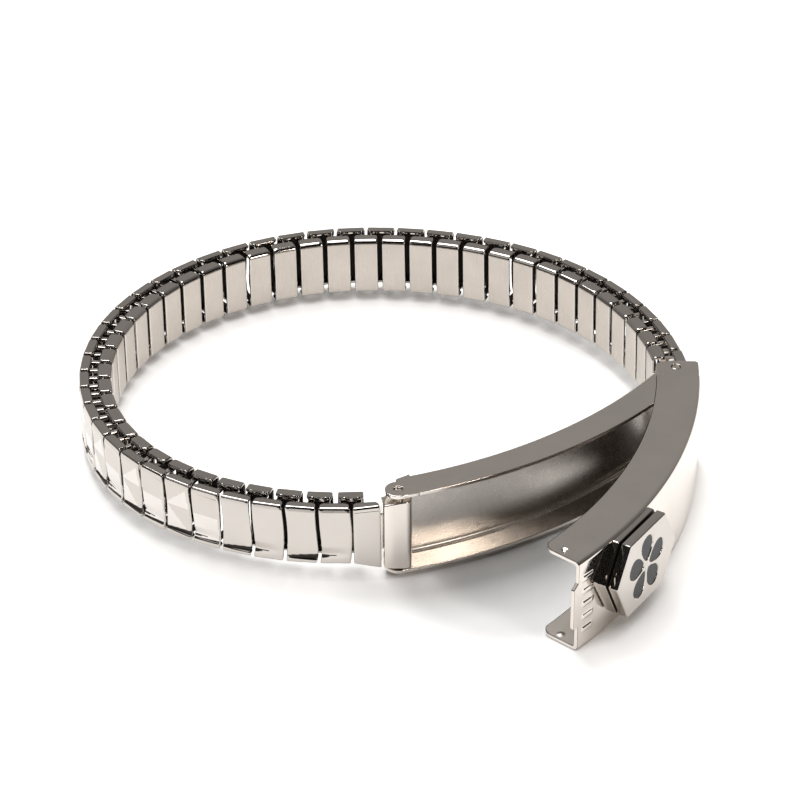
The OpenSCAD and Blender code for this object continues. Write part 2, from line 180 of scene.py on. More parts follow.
def shell(front, back, front_n, back_n, rim=0.08, wrap=False, steps=3, front_mark=0, rim_mark=0):
    """Closes two facing grids into one solid with a round rim; the front's marks may differ by cell.

    Along each border the front point moves in by the rim's radius r, then follows the quarter circle
    p - D r (1 - sin a) + w r (1 - cos a), where D points out of the border and w from front to back;
    a straight side and the same quarter circle lead to the back grid.
    """
    rows, cols = front.shape[:2]
    cells = cells_of(rows, cols, wrap)
    front_p, back_p = front.reshape(-1, 3).copy(), back.reshape(-1, 3).copy()
    n_f, n_b = front_n.reshape(-1, 3), back_n.reshape(-1, 3)
    rims = np.broadcast_to(rim, (rows, cols)).ravel()
    sign = 1.0 if face_out(front_p, n_f, cells) else -1.0
    ring = np.arange(rows * cols).reshape(rows, cols)
    loops = [ring[0], ring[-1, ::-1]] if wrap else [
        np.concatenate([ring[0, :-1], ring[:-1, -1], ring[-1, :0:-1], ring[:0:-1, 0]])]
    count = 2 * rows * cols
    points, normals, faces = [], [], [cells, cells[:, ::-1] + rows * cols]
    sweep = np.linspace(0, math.pi / 2, steps + 1)[:, None, None]
    for loop in loops:
        p, q = front_p[loop].copy(), back_p[loop].copy()
        side = unit(np.cross(np.roll(p, -1, 0) - p, sign * n_f[loop]))
        before = np.roll(side, 1, 0)
        out = (side + before) / np.maximum(1 + np.sum(side * before, 1, keepdims=True), 0.4)
        away = unit(out)
        w = q - p
        r = np.minimum(rims[loop][:, None], 0.45 * np.linalg.norm(w, axis=1, keepdims=True))
        w = unit(w)
        first = p - out * r * (1 - np.sin(sweep)) + w * r * (1 - np.cos(sweep))
        last = q - out * r * (1 - np.sin(sweep)) - w * r * (1 - np.cos(sweep))
        n_first = np.cos(sweep) * n_f[loop] + np.sin(sweep) * away
        n_last = np.cos(sweep) * n_b[loop] + np.sin(sweep) * away
        front_p[loop], back_p[loop] = first[0], last[0]
        mid = np.concatenate([first[1:], last[:0:-1]])
        points.append(mid.reshape(-1, 3))
        normals.append(np.concatenate([n_first[1:], n_last[:0:-1]]).reshape(-1, 3))
        line = np.arange(mid.shape[0] * len(loop)).reshape(mid.shape[0], -1) + count
        count += line.size
        line = np.concatenate([loop[None], line, loop[None] + rows * cols])
        then = np.roll(line, -1, 1)
        faces.append(np.stack([then[:-1], line[:-1], line[1:], then[1:]], -1).reshape(-1, 4))
    faces = np.concatenate(faces)
    marks = np.full(len(faces), rim_mark)
    marks[:len(cells)] = np.ravel(front_mark)
    # The back grid takes the second finish: near-black painted shade on the caps and links, the inside steel on
    # the tray and the lid.
    marks[len(cells):2 * len(cells)] = 1
    return (np.concatenate([front_p, back_p] + points), unit(np.concatenate([n_f, n_b] + normals)),
            faces if sign > 0 else faces[:, ::-1], marks)


def lofted(rings, ring_n, low_n=None, high_n=None):
    """Joins closed rings in a stack and closes each end that has a direction given with a small middle ring.

    The end is the last ring drawn in to its middle point by a factor from 1 to nearly 0.
    """
    cols = rings.shape[1]
    stack, stack_n = rings, ring_n
    for n, end in ((low_n, 0), (high_n, -1)):
        if n is None:
            continue
        edge = rings[end]
        middle = edge.mean(0)
        rest = middle + (edge - middle) * np.array([1.0, 0.5, 0.002])[:, None, None]
        rest_n = np.broadcast_to(n, rest.shape)
        stack = np.concatenate([rest[::-1], stack] if end == 0 else [stack, rest])
        stack_n = np.concatenate([rest_n[::-1], stack_n] if end == 0 else [stack_n, rest_n])
    cells = cells_of(len(stack), cols, True)
    flat, n = stack.reshape(-1, 3), stack_n.reshape(-1, 3)
    return flat, unit(n), cells if face_out(flat, n, cells) else cells[:, ::-1], np.zeros(len(cells), int)


def fillet(corners, radii, straight=(), arc=6, closed=False):
    """Path through the corners, each turned on an arc of its own radius.

    The arc starts r tan(turn / 2) before its corner. Returns the points and the directions to the
    path's left. straight holds, for each straight part, the shares of its length that get a point.
    """
    c = np.asarray(corners, float)
    if closed:
        c = np.concatenate([c[-1:], c, c[:1]])
    d = unit(np.diff(c, axis=0))
    points, lefts = [], []
    ends = [c[0]]
    arcs = []
    for p, a, b, r in zip(c[1:-1], d[:-1], d[1:], radii):
        turn = math.atan2(a[0] * b[1] - a[1] * b[0], float(a @ b))
        reach = r * math.tan(abs(turn) / 2)
        left = np.array([-a[1], a[0]])
        f = np.linspace(0, turn, arc + 1)[:, None]
        lean = left * np.cos(f) - a * np.sin(f)
        centre = p - a * reach + left * math.copysign(r, turn)
        arcs.append((centre - lean * math.copysign(r, turn), lean))
        ends += [p - a * reach, p + b * reach]
    ends.append(c[-1])
    for k in range(len(d)):
        f = np.asarray(straight[k] if k < len(straight) else [], float)[:, None]
        if k > 0 or not closed:
            start = ends[2 * k]
            stop = ends[2 * k + 1] if not closed or k < len(d) - 1 else arcs[0][0][0]
            points.append(start + (stop - start) * f)
            lefts.append(np.broadcast_to([-d[k][1], d[k][0]], (len(f), 2)))
        if k < len(arcs):
            points.append(arcs[k][0])
            lefts.append(arcs[k][1])
    return np.concatenate(points), np.concatenate(lefts)


def pressed(grid, normals, depth):
    """A grid pushed along its own directions by depth, with new directions where the depth changes.

    The direction there is the cross product of the grid's two central differences.
    """
    made = grid + normals * depth[..., None]
    across, along = np.gradient(made, axis=0), np.gradient(made, axis=1)
    n = unit(np.cross(across, along))
    n = n * np.sign(np.sum(n * normals, -1, keepdims=True) + 1e-12)
    slope = np.abs(np.gradient(depth, axis=0)) + np.abs(np.gradient(depth, axis=1))
    return made, np.where((slope > 1e-5)[..., None], n, normals)


def eased(x):
    """Smooth step from 0 to 1: 3 x squared minus 2 x cubed."""
    x = np.clip(x, 0, 1)
    return x * x * (3 - 2 * x)


def corner_in(e, r):
    """How far an edge draws in at a distance e from a corner rounded to r: r - sqrt(r^2 - (r - e)^2)."""
    e = np.clip(e, 0, r)
    return r - np.sqrt(np.maximum(r * r - (r - e) ** 2, 0))


# Places on the band and on the capsule

def bend_starts():
    """Start of each bend as x, y and heading, from the arcs walked one after another."""
    starts = [(PIN_LEFT[0], PIN_LEFT[1], HEADING)]
    for n, r in BENDS:
        x, y, h = starts[-1]
        b = h - n * PITCH / r
        starts.append((x + r * (math.sin(h) - math.sin(b)), y + r * (math.cos(b) - math.cos(h)), b))
    return np.array(starts)


STARTS = bend_starts()
PASSED = -LEAD + np.concatenate([[0], np.cumsum(BENDS[:, 0])])
PIN_RIGHT = STARTS[-1, :2]
CHORD = np.linalg.norm(PIN_RIGHT - PIN_LEFT)
ALONG = (PIN_RIGHT - PIN_LEFT) / CHORD
CENTRE = (PIN_LEFT + PIN_RIGHT) / 2 + np.array([-ALONG[1], ALONG[0]]) * math.sqrt(CAPSULE_R**2 - CHORD**2 / 4)
HINGE_ANGLE = math.atan2(PIN_RIGHT[1] - CENTRE[1], PIN_RIGHT[0] - CENTRE[0])
SPAN = 2 * math.asin(CHORD / 2 / CAPSULE_R) * CAPSULE_R


def place(s):
    """x, y and heading of the band's middle line s links past the first gap."""
    k = int(np.clip(np.searchsorted(PASSED, s + 1e-9, "right") - 1, 0, len(BENDS) - 1))
    (x, y, h), r = STARTS[k], BENDS[k, 1]
    b = h - (s - PASSED[k]) * PITCH / r
    return x + r * (math.sin(h) - math.sin(b)), y + r * (math.cos(b) - math.cos(h)), b


def drooped(turn, shift):
    """A place on the level band, laid down behind the line between the pins."""
    x, y = ALONG
    k = np.array([[0, 0, y], [0, 0, -x], [-y, x, 0]])
    droop = np.eye(3) + math.sin(BAND_TILT) * k + (1 - math.cos(BAND_TILT)) * (k @ k)
    pin = np.array([*PIN_LEFT, 0])
    return droop @ turn, droop @ (shift - pin) + pin + np.array([0, 0, BAND_BOTTOM])


def on_band(skin, s):
    """A link's skin, drawn with x along the band and y outwards, stood on the band at s links."""
    x, y, h = place(s)
    return moved(skin, *drooped(about_z(h), np.array([x, y, 0.0])))


def curve(s, out, z):
    """Points of the capsule at s along its arc, out from it and z up, all arrays of one shape."""
    a = HINGE_ANGLE - s / CAPSULE_R
    r = CAPSULE_R + out
    return np.stack([CENTRE[0] + r * np.cos(a), CENTRE[1] + r * np.sin(a), z + 0 * a], -1)


EYE = curve(np.array(SPAN + EYE_PAST), np.array(EYE_OUT), np.array(0.0))[:2]


def curve_n(s, along, out, z):
    """Directions on the capsule from their parts along the arc, outwards and up."""
    a = HINGE_ANGLE - s / CAPSULE_R
    x, y = along * np.sin(a) + out * np.cos(a), -along * np.cos(a) + out * np.sin(a)
    return unit(np.stack([x, y, z + 0 * a], -1))


def swung(skin):
    """A lid's skin, drawn closed, turned open about the hinge pin."""
    turn, pin = about_z(LID_OPEN), np.array([*PIN_RIGHT, 0])
    return moved(skin, turn, pin - turn @ pin)


# Links of the band

def cap_hollow(u, z, odd):
    """Hollow above a cap's lower lip: a slope down to a ledge, deeper at the left on odd caps.

    Every second cap has a leaf that opens to the right instead. u is 0 at the left and 1 at the right.
    """
    slope = np.where(z > LEDGE_Z, (HOLLOW_TOP - z) / (HOLLOW_TOP - LEDGE_Z),
                     (z - HOLLOW_FOOT) / (LEDGE_Z - HOLLOW_FOOT))
    leaf = np.minimum((0.86 + 0.34 * u - z) / 0.1, (z - 0.5) / 0.16)
    return np.where(odd, np.clip(slope, 0, 1) * (1 - u) ** 1.2, np.clip(leaf, 0, 1) * np.minimum(1, 0.25 + u))


def cap_facets(u, v, odd, depth):
    """Flat facets that fan out from the middle of a cap's left side: their heights, and which get a painted
    highlight.

    Each facet is a triangle of corners (share across, share down, height), where a height of -1 is the
    full depth below the face. A point's height is the barycentric mix of the three.
    """
    a, b = (1, 0) if odd else (0, 1)
    top, mid, low = (0.88, 0.13, -a), (0.94, 0.47, -b), (0.97, 0.86, -a)
    hub, left_top, left_low = (0, 0.45, -0.15), (0, 0.09, 0), (0, 0.9, -0.5)
    right_top, right_low = (1, 0.09, 0), (1, 0.9, 0)
    fan = [(left_top, right_top, top), (left_top, top, hub), (hub, top, mid), (hub, mid, low),
           (hub, low, left_low), (top, right_top, mid), (mid, right_top, right_low),
           (mid, right_low, low), (left_low, low, right_low)]
    height, bright = np.zeros_like(u), np.zeros(u.shape, bool)
    for number, ((ax, ay, ah), (bx, by, bh), (cx, cy, ch)) in enumerate(fan):
        area = (bx - ax) * (cy - ay) - (cx - ax) * (by - ay)
        p = ((bx - u) * (cy - v) - (cx - u) * (by - v)) / area
        q = ((cx - u) * (ay - v) - (ax - u) * (cy - v)) / area
        inside = (p >= -1e-6) & (q >= -1e-6) & (p + q <= 1 + 1e-6)
        height = np.where(inside, p * ah + q * bh + (1 - p - q) * ch, height)
        # The listed facets are marked for the painted highlight.
        bright = np.where(inside, number in (PAINTED_GLINT_ODD if odd else PAINTED_GLINT_EVEN), bright)
    return depth * height, bright


TIP = np.array([0, 0.03, 0.1, 0.22, 0.4, 0.6, 0.8])
FACE_ROWS = np.concatenate([np.linspace(0.02, 0.3, 17), np.linspace(0.33, 0.98, 21)])
SIDE_COLS = np.concatenate([[0, 0.045, 0.08], np.linspace(0.12, 0.88, 17), [0.92, 0.955, 1]])


def cap_skin(k, depth, plain=False):
    """Outer cap k: a sheet folded from the lower tab up over its face to the upper tab.

    The path is a filleted line in y and z, and x runs between two side edges that bow away.
    """
    straight = [TIP, FACE_ROWS, [0.3, 0.7], 1 - TIP[::-1]]
    t = LINK_SHEET
    y0, bevel = OUT - CAP_D, 0 if plain else CAP_BEVEL
    path, left = fillet([[y0, 0], [OUT, 0], [OUT, BEVEL_Z], [OUT - bevel, BAND_H], [y0, BAND_H]],
                        CAP_BENDS, straight)
    inside = [[y0, t], [OUT - t, t], [OUT - t, BEVEL_Z - 0.2], [OUT - t - bevel / 2, BAND_H - t],
              [y0, BAND_H - t]]
    inner, inner_left = fillet(inside, CAP_BENDS_INSIDE, straight)
    y, z = path[:, 0][:, None], path[:, 1][:, None]
    fall = np.clip((BAND_H - z) / BAND_H, 0, 1)
    draw = corner_in(y - y0, CAP_CORNER)
    lower_tab = np.arange(len(path))[:, None] < len(TIP) + 2
    draw = np.where(lower_tab | (z > BAND_H - 0.01), draw, 0)
    draw = draw + TAB_IN * eased((OUT - 0.1 - y) / 0.25)

    def bow(gap):
        return EDGE_BOW * np.sin(math.pi * (fall if gap % 2 == 0 else fall**2.4))

    half = CAP_W / 2
    high = half - draw - (0 if plain else bow(k))
    low = -half + draw - (0 if plain else bow(k - 1))
    x = low + (high - low) * SIDE_COLS
    grid = sheet(x, path)
    y, z = grid[..., 1], grid[..., 2]
    edge = np.minimum(x - low, high - x)
    press = -EDGE_FALL * np.clip(1 - edge / EDGE_W, 0, 1) ** 2 * eased((y - OUT + 0.3) / 0.2)
    mark = 0
    if not plain:
        u = (high - x) / (high - low)
        face = (y > OUT - 0.2) & (z > 0.3) & (z < BEVEL_Z + 0.05)
        odd = k % 2 == 1
        hollow = cap_hollow(u, z, odd)
        share = min(1, max(0, (k - LAST_PLAIN_CAP) / 2))
        facets, bright = cap_facets(u, (BAND_H - z) / BAND_H, odd, depth * share)
        press = press + np.where(face, facets - HOLLOW_DEPTH * hollow, 0)
        # Mark 1 paints near-black shade into the low part of the hollow; mark 2 paints a highlight on the
        # facets listed as bright.
        dark = face & (z < SHADE_PAINT_TOP) & (hollow > SHADE_PAINT_FROM)
        mark = np.where(dark, 1, np.where(face & bright & (share == 1), 2, 0))[:-1, :-1]
    grid, n = pressed(grid, sheet_n(-left, grid), press)
    back = sheet(x, inner)
    return shell(grid, back, n, sheet_n(inner_left, back), 0.1, front_mark=mark)


def end_link_skin(side):
    """A plain cap whose face grows taller towards the capsule, in proportion to x; the left one is short."""
    points, normals, faces, marks = cap_skin(1, 0, plain=True)
    x, y, z = points.T
    grow = np.clip(0.5 - side * x / CAP_W, 0, 1) * eased((y - OUT + 0.45) / 0.3)
    z = z + grow * ((FLARE_UP + FLARE_DOWN) * z / BAND_H - FLARE_DOWN)
    gap, cut = side * CAP_W / 2, END_CUT if side > 0 else 0
    x = gap - (gap - x) * (1 - cut / CAP_W)
    return np.stack([x, y, z], -1), normals, faces, marks


def inner_link_skin():
    """Inner link: a sheet folded round two wide bends, with rounded tab ends."""
    y0, y1, z0, z1, t = -OUT, INNER_D - OUT, 0.0, BAND_H + 0.05, LINK_SHEET
    straight = [[0, 0.06, 0.2, 0.45, 0.75], np.linspace(0.04, 0.96, 12), [0.25, 0.55, 0.8, 0.94, 1]]
    path, left = fillet([[y1, z0], [y0, z0], [y0, z1], [y1, z1]], [LINK_BEND] * 2, straight, arc=7)
    inner, inner_left = fillet([[y1, z0 + t], [y0 + t, z0 + t], [y0 + t, z1 - t], [y1, z1 - t]],
                               [LINK_BEND_INSIDE] * 2, straight, arc=7)
    cols = np.concatenate([[0, 0.05, 0.1], np.linspace(0.18, 0.82, 7), [0.9, 0.95, 1]])
    half = INNER_W / 2 - corner_in(y1 - path[:, 0], LINK_CORNER)[:, None]
    x = half * (2 * cols - 1)
    grid, back = sheet(x, path), sheet(x, inner)
    crown = -LINK_FALL * np.clip(1 - np.minimum(x + half, half - x) / LINK_FALL_W, 0, 1) ** 2
    grid, n = pressed(grid, sheet_n(left, grid), crown)
    tab = 2 * (np.abs(grid[..., 2] - z1 / 2) > z1 / 2 - 0.3)[:-1, :-1]
    return shell(grid, back, n, sheet_n(-inner_left, back), 0.12, front_mark=tab, rim_mark=2)


def clip_skin(z):
    """A flat sprung clip: a rounded oblong section carried along a U-shaped path."""
    c = PITCH / 4
    path, left = fillet([[-c, CLIP_TIP], [-c, CLIP_BACK], [c, CLIP_BACK], [c, CLIP_TIP]], [CLIP_BEND] * 2,
                        [[0, 0.5], [0.5], [0.5, 1]], arc=4)
    half = np.where(path[:, 1] < -0.6, CLIP_HALF_BACK, CLIP_HALF)[:, None]
    ring, ring_left = fillet([[1, -1], [1, 1], [-1, 1], [-1, -1]], [0.45] * 4, arc=2, closed=True)
    thick = CLIP_T / 2
    side = np.concatenate([left, np.zeros((len(path), 1))], 1)[:, None]
    rings = np.concatenate([path, np.full((len(path), 1), z + thick)], 1)[:, None]
    rings = rings + side * (half * ring[:, 0])[..., None] + UP * (thick * ring[:, 1])[None, :, None]
    ring_n = -(side * ring_left[:, 0][None, :, None] + UP * ring_left[:, 1][None, :, None])
    end = np.array([0.0, 1.0, 0.0])
    return lofted(rings, ring_n, end, end)


# Rolled ends, pins, tray and lid

def prism(outline, left, low, high, rim):
    """A closed outline carried up from low to high, its level ends rounded to the rim's radius.

    The quarter circle at each end draws the outline in by rim (1 - sin a) while it rises rim (1 - cos a).
    """
    a = np.linspace(0, math.pi / 2, 4)
    inset = np.concatenate([rim * (1 - np.sin(a)), rim * (1 - np.sin(a[::-1]))])[:, None]
    rise = np.concatenate([rim * (1 - np.cos(a)), -rim * (1 - np.cos(a[::-1]))])[:, None]
    level = np.concatenate([np.tile(low, (4, 1)), np.tile(high, (4, 1))]) + rise
    tilt = np.concatenate([-np.cos(a), np.cos(a[::-1])])[:, None]
    flat = outline[None] + left[None] * inset[..., None]
    rings = np.concatenate([flat, np.broadcast_to(level, flat.shape[:2])[..., None]], -1)
    level_n = np.broadcast_to(tilt, flat.shape[:2])[..., None]
    side_n = -left[None] * np.sqrt(np.maximum(1 - tilt**2, 0))[..., None]
    return lofted(rings, np.concatenate([side_n, level_n], -1), DOWN, UP)


def roll_skin(side):
    """A rolled end: a circle round the pin that runs out into a flat front, and the tongue behind it.

    The left one's front goes on past its pin to a rounded shoulder. The right one is drawn like the left
    and mirrored.
    """
    reach, shoulder = (ROLL_REACH[0], SHOULDER) if side > 0 else (ROLL_REACH[1], 0.0)
    back = -0.3 * KNUCKLE_R
    a = np.radians(np.linspace(90, 158, 9) if shoulder else [90.0])
    r = SHOULDER_R if shoulder else KNUCKLE_R
    bend = np.stack([r * np.cos(a) - shoulder, KNUCKLE_R - r + r * np.sin(a)], -1)
    b = np.radians(np.linspace(152 if shoulder else 98, 341, 30))
    circle = KNUCKLE_R * np.stack([np.cos(b), np.sin(b)], -1)
    block = np.array([[reach, back], [reach, 0.4], [reach, KNUCKLE_R - 0.08], [reach - 0.08, KNUCKLE_R],
                      [0.6, KNUCKLE_R]])
    outline = np.concatenate([bend, circle, block])
    out = unit(np.concatenate([np.stack([np.cos(a), np.sin(a)], -1), circle,
                               [[1, -0.6], [1, 0], [1, 0.3], [0.3, 1], [0, 1]]]))
    share = np.clip(outline[:, 0] / reach, 0, 1)
    low = ROLL_LOW + (BAND_BOTTOM - FLARE_DOWN - ROLL_LOW) * share
    high = ROLL_TOP + (BAND_BOTTOM + BAND_H + FLARE_UP - ROLL_TOP) * share
    if side < 0:
        outline, out, low, high = (outline * [-1, 1])[::-1], (out * [-1, 1])[::-1], low[::-1], high[::-1]
    body = prism(outline, -out, low, high, 0.14)
    x0, x1 = sorted([side * 0.4, side * (KNUCKLE_R + TONGUE_LENGTH)])
    corners = [[x0, TONGUE_IN], [x1, TONGUE_IN], [x1, TONGUE_OUT], [x0, TONGUE_OUT]]
    tongue, left = fillet(corners, [0.05] * 4, arc=2, closed=True)
    low, high = BAND_BOTTOM + TONGUE_SHORT, BAND_BOTTOM + BAND_H - TONGUE_SHORT
    return join([body, prism(tongue, left, low, high, 0.05)])


def pin_skin(centre, low, high):
    """A straight pin with rounded ends."""
    a = np.linspace(0, 2 * math.pi, 32, endpoint=False)
    out = np.stack([np.cos(a), np.sin(a)], -1)
    return prism(np.asarray(centre) + PIN_R * out, -out, low, high, 0.12)


def channel(path, left, inner, inner_left, s, press, back_press, rim):
    """A folded section carried along the capsule's curve; s gives each row its own ends.

    path holds the section's distance out and height. Both faces may be pressed along their own directions.
    """
    out, z = path[:, 0][:, None] + 0 * s, path[:, 1][:, None] + 0 * s
    grid, n = curve(s, out, z), curve_n(s, 0 * s, left[:, 0][:, None] + 0 * s, left[:, 1][:, None] + 0 * s)
    grid, n = pressed(grid, n, press)
    out, z = inner[:, 0][:, None] + 0 * s, inner[:, 1][:, None] + 0 * s
    back = curve(s, out, z)
    back_n = curve_n(s, 0 * s, -inner_left[:, 0][:, None] + 0 * s, -inner_left[:, 1][:, None] + 0 * s)
    back, back_n = pressed(back, back_n, back_press)
    return shell(grid, back, n, back_n, rim)


def ear_skin(outline, hole_at, hole_r, low, high, seam, at, rim=0.07):
    """A flat ear with a round hole: rings that shrink from its outline to the hole.

    Row f of the grid is outline + f (hole - outline), where the hole's point lies towards the outline's.
    seam is true where the ear meets the folded part, and the rim there is sharp. The inside of a lower
    ear is its top.
    """
    hole_at = np.asarray(hole_at, float)
    away = unit(outline - hole_at)
    hole = hole_at + hole_r * away
    f = np.array([0, 0.12, 0.5, 0.88, 1])[:, None, None]
    flat = outline + f * (hole - outline)
    s, out = at + flat[..., 0], flat[..., 1]
    rims = np.where(seam, 0.003, rim) * np.ones((5, 1))
    rims[-1] = 0.05
    up = curve_n(s, 0 * s, 0 * s, 1 + 0 * s)
    skin = shell(curve(s, out, high + 0 * s), curve(s, out, low + 0 * s), up, -up, rims, wrap=True)
    if low < LID_H / 2:
        both = slice(0, 8 * len(outline))
        skin[3][both] = 1 - skin[3][both]
    return skin


def dense_line(points, step):
    """A closed line through the points, with its long sides cut into parts that are at least a step long."""
    p = np.asarray(points, float)
    q = np.roll(p, -1, 0)
    counts = [max(1, int(np.linalg.norm(b - a) / step)) for a, b in zip(p, q)]
    return np.concatenate([a + (b - a) * np.linspace(0, 1, count, endpoint=False)[:, None]
                           for a, b, count in zip(p, q, counts)])


def tray_ear(side):
    """One end of the tray's flange: a circle round the pin's hole, and the full width beside it.

    The outline goes from the folded part's front corner round the circle to its back corner. The left
    flange narrows at its back and ends at a small step beside the circle.
    """
    if side > 0:
        r, at, notch = EAR_R, np.array([EYE_PAST, EYE_OUT]), -97
        back = [[-0.03, -1.1], [-0.06, -NARROW + 0.12], [-0.13, -NARROW - 0.02], [-0.3, -NARROW - 0.08]]
        start = 180 - math.degrees(math.asin((TRAY_FRONT - EYE_OUT) / EAR_R))
    else:
        r, at, notch, start = 1.5, np.zeros(2), -112, 90
        back = [[-0.78, TRAY_BACK]]
    a = np.radians(np.linspace(start, notch, 40))
    ring = at + r * np.stack([np.cos(a), np.sin(a)], -1)
    line = np.concatenate([[[-TRAY_START, TRAY_FRONT]], ring, back, [[-TRAY_START, TRAY_BACK]]])
    line = dense_line(line, 0.3)
    seam = line[:, 0] < -TRAY_START + 1e-6
    line, hole = line * [side, 1], at * [side, 1]
    start = SPAN if side > 0 else 0.0
    return [ear_skin(line, hole, PIN_R + HOLE_GAP_TRAY, z, z + SHEET, seam, start)
            for z in (TRAY_LOW, TRAY_TOP - SHEET)]


def tray_skin():
    """The tray: a folded channel between two pairs of ears, with a bead along the foot of its wall inside."""
    t = SHEET
    straight = [[0, 0.03, 0.1, 0.3, 0.6, 0.85], np.linspace(0.03, 0.97, 24),
                np.concatenate([np.linspace(0.02, 0.3, 15), [0.4, 0.7, 0.9, 0.97, 1]])]
    path, left = fillet([[TRAY_FRONT, TRAY_TOP], [TRAY_BACK, TRAY_TOP], [TRAY_BACK, TRAY_LOW],
                         [TRAY_FRONT, TRAY_LOW]], [FOLD] * 2, straight, arc=7)
    inner, inner_left = fillet([[TRAY_FRONT, TRAY_TOP - t], [TRAY_BACK + t, TRAY_TOP - t],
                                [TRAY_BACK + t, TRAY_LOW + t], [TRAY_FRONT, TRAY_LOW + t]],
                               [TRAY_FOLD_INSIDE] * 2, straight, arc=7)
    f = np.concatenate([[0, 0.004], np.linspace(0.015, 0.985, 60), [0.996, 1]])
    s = TRAY_START + (SPAN - 2 * TRAY_START) * np.broadcast_to(f, (len(path), len(f)))
    rim = np.full(s.shape, 0.07)
    flat = np.abs(path[:, 1] - (TRAY_LOW + TRAY_TOP) / 2) > (TRAY_TOP - TRAY_LOW) / 2 - 0.47
    rim[flat, 0] = rim[flat, -1] = 0.003
    none = np.zeros(s.shape)
    foot = np.where(inner[:, 1] < TRAY_LOW + t + 0.01, np.abs(inner[:, 0] - TRAY_BACK - t - BEAD_AT), 1)
    bead = BEAD_H * eased(1 - foot / BEAD_HALF)[:, None] + none
    return join([channel(path, -left, inner, -inner_left, s, none, bead, rim)] + tray_ear(1) + tray_ear(-1))


def lid_ends(path):
    """Where each row of the lid's section ends at its free side, as a distance along the curve.

    The flanges end on a wide rounded corner, and the wall carries a lip with a slanted shoulder.
    """
    out, z = path[:, 0], path[:, 1]
    end = np.full(len(path), SPAN + LID_PAST)
    flange = (z > LID_H - 0.01) | (z < 0.01)
    end = end - np.where(flange, corner_in(out - LID_BACK, LID_CORNER), 0)
    wall = out > LID_FRONT - 0.02
    low = z - LIP_LOW
    tip = LIP_PAST - LID_PAST
    lip = np.where((low > 0) & (z < LIP_TOP + LIP_SLANT), tip, 0)
    lip = np.minimum(lip, np.maximum(0, tip * (LIP_TOP + LIP_SLANT - z) / LIP_SLANT))
    lip = lip - np.where(lip > 0, corner_in(low, LIP_CORNER), 0) * (lip > 0.2)
    return end + np.where(wall, lip, 0)


def lid_skin(rib_depth):
    """The lid: a folded channel with ribs, dimples and a lip at its free end, and two ears at the hinge."""
    t = SHEET
    flange = np.concatenate([[0, 0.02, 0.08, 0.2, 0.36, 0.56, 0.8, 1.05, 1.25], np.arange(1.45, 2.6, 0.1),
                             [2.8, 3.2, 3.6, 3.85]])
    flange = np.unique(flange) / 4.0
    high = LID_H - FOLD
    z = np.concatenate([np.arange(0.6, 9.45, 0.1), [2.695, 2.705, 2.74, 7.76, 7.74, 7.2, 9.5, 0.5]])
    wall = np.unique(np.round((high - z) / (high - FOLD), 5))
    straight = [flange, wall, (1 - flange)[::-1]]
    path, left = fillet([[LID_BACK, LID_H], [LID_FRONT, LID_H], [LID_FRONT, 0], [LID_BACK, 0]],
                        [FOLD] * 2, straight, arc=7)
    inner, inner_left = fillet([[LID_BACK, LID_H - t], [LID_FRONT - t, LID_H - t], [LID_FRONT - t, t],
                                [LID_BACK, t]], [LID_FOLD_INSIDE] * 2, straight, arc=7)
    turn = SPAN - 1.6
    f = np.concatenate([[0, 0.004], np.linspace(0.015, 1, 56)])
    near = np.concatenate([np.linspace(0, 1, 25)[1:-1], [0.965, 0.985, 1]])
    end = lid_ends(path)[:, None]
    s = np.concatenate([LID_START + (turn - LID_START) * f + 0 * end, turn + (end - turn) * near], 1)
    out, z = path[:, 0][:, None] + 0 * s, path[:, 1][:, None] + 0 * s
    far = np.hypot(s - SPAN, out) / DIMPLE_R
    top_or_low = (z > LID_H - 0.01) | (z < 0.01)
    dimple = np.where(top_or_low, np.clip(1 - far**2, 0, 1) ** 1.5, 0)
    rib = np.zeros(s.shape)
    for k in range(RIBS):
        rise = eased((RIB_HALF - np.abs(z - LID_H / 2 - (k - RIBS // 2) * RIB_STEP)) / RIB_EDGE)
        length = eased((s - SPAN + 1.42) / RIB_EDGE) * eased((SPAN + 0.17 - s) / RIB_EDGE)
        rib = np.maximum(rib, rise * length)
    rib = np.where(out > LID_FRONT - 0.01, rib, 0)
    rim = np.full(s.shape, 0.08)
    rim[:, 0] = 0.003
    press = rib_depth * rib - DIMPLE_DEPTH * dimple
    body = channel(path, left, inner, inner_left, s, press, 0.08 * dimple, rim)
    corners = [[1.4, LID_FRONT - 0.15], [-1.1, LID_FRONT - 0.15], [-1.1, LID_BACK], [1.4, LID_BACK]]
    a = np.radians(np.linspace(90, 180, 7))
    outer = np.stack([-0.7 + 0.4 * np.cos(a), LID_FRONT - 0.55 + 0.4 * np.sin(a)], -1)
    a = np.radians(np.linspace(180, 270, 12))
    back = np.stack([-0.1 + np.cos(a), LID_BACK + 1 + np.sin(a)], -1)
    line = dense_line(np.concatenate([[corners[0]], outer, back, [corners[3]]]), 0.3)
    seam = line[:, 0] > LID_START - 1e-6
    ears = [ear_skin(line, (0, 0), PIN_R + HOLE_GAP_LID, z, z + t, seam, 0.0) for z in (0.0, LID_H - t)]
    return swung(join([body] + ears))


# Badge

def hexagon(inset, r):
    """The badge's outline with its corners rounded to r, and the directions to its left."""
    h = BADGE_H / 2 - inset
    a = BADGE_SIDE / 2 - inset * math.tan(math.radians(30))
    b = a + h * math.tan(math.radians(30))
    corners = [[b, 0], [a, h], [-a, h], [-b, BADGE_LIFT], [-a, -h], [a, -h]]
    shares = [[]] + [np.linspace(0.1, 0.9, 9)] * 6
    return fillet(corners, [r] * 6, shares, arc=5, closed=True)


def on_badge(skin):
    """Badge points, drawn flat with x towards the hinge, y up and z outwards, stood on the open lid."""
    a = HINGE_ANGLE - BADGE_AT / CAPSULE_R
    out = np.array([math.cos(a), math.sin(a), 0])
    back = np.array([-math.sin(a), math.cos(a), 0])
    turn = np.stack([back, [0, 0, 1.0], out], 1)
    origin = np.array([CENTRE[0], CENTRE[1], BADGE_Z]) + out * (CAPSULE_R + LID_FRONT)
    return swung(moved(skin, turn, origin))


